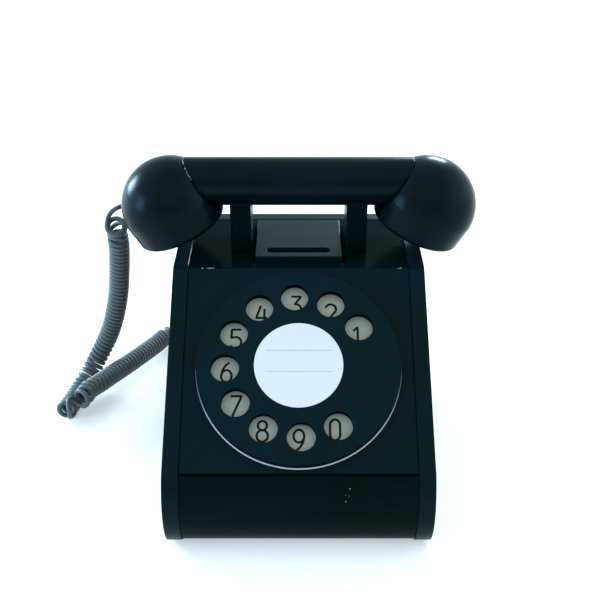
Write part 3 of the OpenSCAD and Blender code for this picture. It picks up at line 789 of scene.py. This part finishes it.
# Half the width and half the height of a number, in millimetres.
W, H = 2.75, 5.2
STROKES = {
    1: [[(-2.0, 3.2), (0.3, H), (0.3, -H)]],
    2: [arc(0, H - 2.7, W, 2.7, 165, -25) + [(-W, -H), (W, -H)]],
    3: [[(-W + 0.3, H), (W - 0.2, H), (-0.6, 0.9)]
        + arc(-0.3, -2.1, W + 0.2, 3.1, 80, -150)],
    4: [[(-0.4, H), (-W, -1.6), (W, -1.6)], [(1.4, 3.5), (1.4, -H)]],
    5: [[(W - 0.2, H), (-W + 0.5, H), (-W + 0.3, 0.7)]
        + arc(-0.3, -1.9, W + 0.2, 3.1, 115, -150)],
    6: [[(1.3, H), (-0.6, 3.6), (-2.0, 1.2), (-2.6, -1.6)]
        + arc(0, -2.0, 2.6, 3.2, 172, 532, 28)],
    7: [[(-W, H), (W, H), (-1.6, -H)]],
    8: [arc(0, 2.9, 2.2, 2.3, 270, 630, 24) + arc(0, -2.3, W, 2.9, 90, -270, 24)],
    9: [[(-1.3, -H), (0.6, -3.6), (2.0, -1.2), (2.6, 1.6)]
        + arc(0, 2.0, 2.6, 3.2, -8, 352, 28)],
    0: [arc(0, 2.4, W - 0.3, 2.8, 0, 180) + arc(0, -2.4, W - 0.3, 2.8, 180, 360)
        + [(W - 0.3, 2.4)]],
}
NUMBER_CIRCLE, NUMBER_MIDDLE = 35.5, (-0.6, -1.7)
FIRST_NUMBER, NUMBER_STEP = 31.2, 30
splines = []
for place, digit in enumerate((1, 2, 3, 4, 5, 6, 7, 8, 9, 0)):
    angle = math.radians(FIRST_NUMBER + NUMBER_STEP * place)
    x = NUMBER_MIDDLE[0] + NUMBER_CIRCLE * math.cos(angle)
    y = NUMBER_MIDDLE[1] + NUMBER_CIRCLE * math.sin(angle)
    splines += [[(x + px, y + py) for px, py in stroke] for stroke in STROKES[digit]]

# %% Pen lines
# Points close to both ends of a line keep the nib's full width up to the corners.
NEAR_CORNERS = (0.08, 0.92, 1)
pen_lines = bpy.data.curves.new("pen_lines", "CURVE")
pen_lines.dimensions = "3D"
for stroke in splines:
    stroke = stroke[:1] + [(ax + (bx - ax) * t, ay + (by - ay) * t)
                           for (ax, ay), (bx, by) in zip(stroke, stroke[1:])
                           for t in NEAR_CORNERS]
    spline = pen_lines.splines.new("POLY")
    spline.points.add(len(stroke) - 1)
    for p, (x, y) in zip(spline.points, stroke):
        p.co = (x * MM, y * MM, 0, 1)
pen_object = placed("pen_lines", pen_lines)
print("strokes", len(splines))

# %% Numbers swept with a nib
pen = Shape("number_shape", nib_radius=0.0006, relief=0.09)
drawn = pen.node("GeometryNodeObjectInfo", sockets={"Object": pen_object},
                 output="Geometry")
swept = pen.node("GeometryNodeCurveToMesh", sockets={
    "Curve": drawn, "Profile Curve": pen.circle(pen.inputs["nib_radius"], 12),
    "Fill Caps": True})
flattened = pen.node("GeometryNodeTransform", sockets={
    "Geometry": swept, "Scale": pen.vector(1.0, 1.0, pen.inputs["relief"])})
on_plate = Matrix.Translation((0, 0, (PLATE_THICKNESS + INK_LIFT) * MM))
numbers = pen.piece("numbers", flattened, ink, dial_place @ on_plate)
bpy.data.objects.remove(pen_object)
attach(numbers, "case")
softened("plate", "number_plate", 0.15, plate_enamel(),
         angle=SMALL_PARTS_SHARP)
softened("label", "dial_label", 0.1, label_paper(), "dial",
         SMALL_PARTS_SHARP)
print("numbers faces", len(numbers.data.polygons))

# %% [markdown]
# ## The handset
# The bar is a thick round stick, cut off slanted at both ends. The ear and mouth
# pieces are turned knobs: a dome and a rounded rim round the flat face that goes to the
# ear or mouth. A slanted cut beside the dome meets the bar. The construction model's
# facets would show in the satin paint's highlights, so knobs and stick are made anew
# with many more faces, from the same sizes.

# %% Sizes of the handset
# The bar's sizes are in metres, as bmesh takes them, and the knobs' in millimetres.
BAR = point(0, 44.7, 147)
BAR_RADIUS, BAR_HALF, MITRE = 0.01275, 0.052, math.radians(35)
CAP_X, CAP_Y, CAP_Z, CANT = 68.5, 44.7, 133.3, math.radians(23)
CAP_RADIUS, CAP_FACE, CAP_MOUTH, CAP_RIM = 26.5, 14.9, 24.9, 3.0
KNOB_SHARP = 20
KNOB = (arc(CAP_MOUTH - CAP_RIM, CAP_RIM - CAP_FACE, CAP_RIM, CAP_RIM, -90, 4, 10)
        + arc(0, 0, CAP_RADIUS, CAP_RADIUS, 0, 89.5, 64))
print("points of the knob's outline", len(KNOB))


# %% Slanted cuts
def cut(shape, where, normal):
    """Cuts off what lies on the normal's side and closes the cut."""
    parts = shape.verts[:] + shape.edges[:] + shape.faces[:]
    made = bmesh.ops.bisect_plane(shape, geom=parts, plane_co=where, plane_no=normal,
                                  clear_outer=True)
    rim = [e for e in made["geom_cut"] if isinstance(e, bmesh.types.BMEdge)]
    bmesh.ops.contextual_create(shape, geom=rim)


def mitre(sign):
    """The slanted joint on one side: a point on it and its normal, away from the bar."""
    away = Vector((sign * math.cos(MITRE), 0, -math.sin(MITRE)))
    return BAR + Vector((sign * BAR_HALF, 0, 0)), away


# %% Bar
SEAM_WEAR = [(point(-60, 38, 157), 0.011, 0.85), (point(-52.3, 32.2, 147), 0.002, 0.7),
             (point(60.8, 44, 159.5), 0.004, 0.9)]
# The handset's coats are darker copies of the paint: painted shade.
handset_paint = satin_paint("handset_paint", (30, 300, 300), SEAM_WEAR, rough=0.25,
                            shine=0.06, coats=((0.0004, 0.0060, 0.0078, 1), SHADED_GREEN))
STICK_LENGTH = 0.2
stick = bmesh.new()
bmesh.ops.create_cone(stick, cap_ends=True, segments=128, radius1=BAR_RADIUS,
                      radius2=BAR_RADIUS, depth=STICK_LENGTH,
                      matrix=Matrix.Translation(BAR) @ Matrix.Rotation(math.pi / 2, 4, "Y"))
for side_sign in (-1, 1):
    cut(stick, *mitre(side_sign))
bar = finish_edges("bar", stick, 0.5, handset_paint, "handset",
                   ("handset_bar",), SMALL_PARTS_SHARP)
print("bar faces", len(bar.data.polygons))

# %% Knobs
for side_sign, name, node in ((-1, "mouth_knob", "mouthpiece_cap"),
                              (1, "ear_knob", "earpiece_cap")):
    axis = (side_sign * math.sin(CANT), 0, math.cos(CANT))
    blank = turned(name, KNOB, aimed((side_sign * CAP_X, CAP_Y, CAP_Z), axis),
                   handset_paint, 128)
    shape = bmesh.new()
    shape.from_mesh(blank.data)
    bpy.data.objects.remove(blank)
    where, away = mitre(side_sign)
    cut(shape, where, -away)
    # The slanted cut face beside the bar is painted dark: painted shade under the bar.
    paint_shaded_faces(shape, lambda normal: normal.dot(away) < -0.99)
    knob = finish_edges(name, shape, 1.2, handset_paint, "handset",
                        (node,), KNOB_SHARP)
    print(name, "faces", len(knob.data.polygons))

# %% [markdown]
# ## Inside and underneath
# The base with its corner blocks, screws and felt feet, the dowels and what sits on
# the dial's axle can hardly be seen, and the construction model already has their exact
# shapes. So those solids stay, and only get the right finish.

# %% Finishes of the kept solids
base_paint = plain("base_wood", (0.26, 0.16, 0.085, 1), (0.42, 0.28, 0.155, 1), 1, 0.62,
                   grain=(14, 260, 260))
KEPT = {
    bare_wood: ("corner_blocks", "case_dowels", "cradle_dowels", "handset_dowels"),
    base_paint: ("base_panel",), felt: ("feet", "dial_felt_washer"),
    steel: ("base_screws", "dial_axle", "dial_washer"), brass: ("dial_bush", "dial_nut"),
}
for material, nodes in KEPT.items():
    for node in nodes:
        mesh = frame["nodes"][node].data
        for k in range(len(mesh.materials)):
            mesh.materials[k] = material
print("kept solids", sum(len(nodes) for nodes in KEPT.values()))

# %% [markdown]
# ## Floor and light
# The telephone stands on a plain pale floor. Daylight comes from a bright window behind
# it on the left, from a bluer one in front of that, from a skylight and from the pale
# wall behind, which the satin paint mirrors on the top, the coin block and the knobs.
# A white floor could be had from more light, but that would bleach the telephone too.
# So the floor and the room only look white to the eye, and the light stays plain.

# %% Floor
def seen(tree):
    """1 for rays from the eye and for mirrored or refracted rays, 0 for all others."""
    rays = tree.outputs(tree.node("ShaderNodeLightPath"))
    mirrored = rays["Is Camera Ray"].most(rays["Is Glossy Ray"])
    return mirrored.most(rays["Is Transmission Ray"])


FLOOR_GLOW = 0.34
floor_finish = Finish("floor")
floor_shader = floor_finish.node("ShaderNodeBsdfDiffuse", sockets={
    "Color": (0.82, 0.80, 0.78, 1)})
glow = floor_finish.node("ShaderNodeEmission", sockets={
    "Color": (1, 1, 1, 1), "Strength": seen(floor_finish) * FLOOR_GLOW})
both = floor_finish.node("ShaderNodeAddShader", sockets={0: floor_shader, 1: glow})
floor_finish.node("ShaderNodeOutputMaterial", sockets={"Surface": both})
floor = mesh_piece("floor", [(-8, -8, 0), (8, -8, 0), (8, 8, 0), (-8, 8, 0)],
                   [(0, 1, 2, 3)], floor_finish.material)
print("floor", [round(width, 1) for width in floor.dimensions])

# %% Light of the room
# How strongly each part of the room shines. A ray's direction says what it meets.
ROOM, HIGH_WALLS, WALL_BEHIND, WALLS_BESIDE = 0.60, 0.5, 0.95, 0.5
LOW_WINDOW, RIGHT_WALL = 4.0, 1.2
world = bpy.data.worlds.new("room")
bpy.context.scene.world = world
world.use_nodes = True
sky = Tree(world.node_tree)
direction = sky.node("ShaderNodeTexCoord", output="Generated")
parts = sky.outputs(sky.node("ShaderNodeSeparateXYZ", sockets={0: direction}))
# The wall behind ends below the skylight, and the low window is a patch on the left.
behind = parts["Y"].ramp(0.1, 0.7) * (1 - parts["Z"].ramp(0.38, 0.5))
beside = parts["X"].abs().ramp(0.3, 0.75) * (1 - behind)
low_window = (parts["X"] * -1).ramp(0.78, 0.98) * (1 - parts["Z"].ramp(0.25, 0.4))
room = (ROOM + parts["Z"].ramp(0.35, 0.75) * HIGH_WALLS + behind * WALL_BEHIND
        + beside * WALLS_BESIDE + low_window * LOW_WINDOW
        + parts["X"].ramp(0.6, 0.95) * RIGHT_WALL)
tint = sky.mix(behind, (0.82, 0.95, 1.0, 1), (0.54, 0.92, 1.0, 1))
tint = sky.mix(low_window, tint, (0.24, 0.62, 1.0, 1))
camera_ray = sky.node("ShaderNodeLightPath", output="Is Camera Ray")
tint = sky.mix(camera_ray, tint, (1, 1, 1, 1))
strength = room * (1 - camera_ray) + camera_ray
background = sky.node("ShaderNodeBackground", sockets={
    "Color": tint, "Strength": strength})
sky.node("ShaderNodeOutputWorld", sockets={"Surface": background})
print("nodes of the room's light", len(world.node_tree.nodes))


# %% Lamps
def lamp(name, place, width, height, watts, colour):
    """A rectangular lamp that shines at the middle of the telephone."""
    data = bpy.data.lights.new(name, "AREA")
    data.shape, data.size, data.size_y = "RECTANGLE", width, height
    data.energy, data.color = watts, colour
    made = placed(name, data)
    made.location = place
    made.rotation_euler = (LIT_POINT - Vector(place)).to_track_quat("-Z", "Y").to_euler()


LIT_POINT = Vector((0, 0, 0.13))
lamp("window", (-1.42, 0.86, 0.46), 0.50, 0.50, 46, (0.52, 0.78, 1.0))
lamp("skylight", (0.46, 1.46, 0.61), 0.36, 0.20, 15, (0.66, 0.89, 1.0))
lamp("blue_window", (-1.41, -0.43, 0.42), 0.50, 0.65, 14, (0.18, 0.56, 1.0))
print("lamps", [light.name for light in bpy.data.lights])
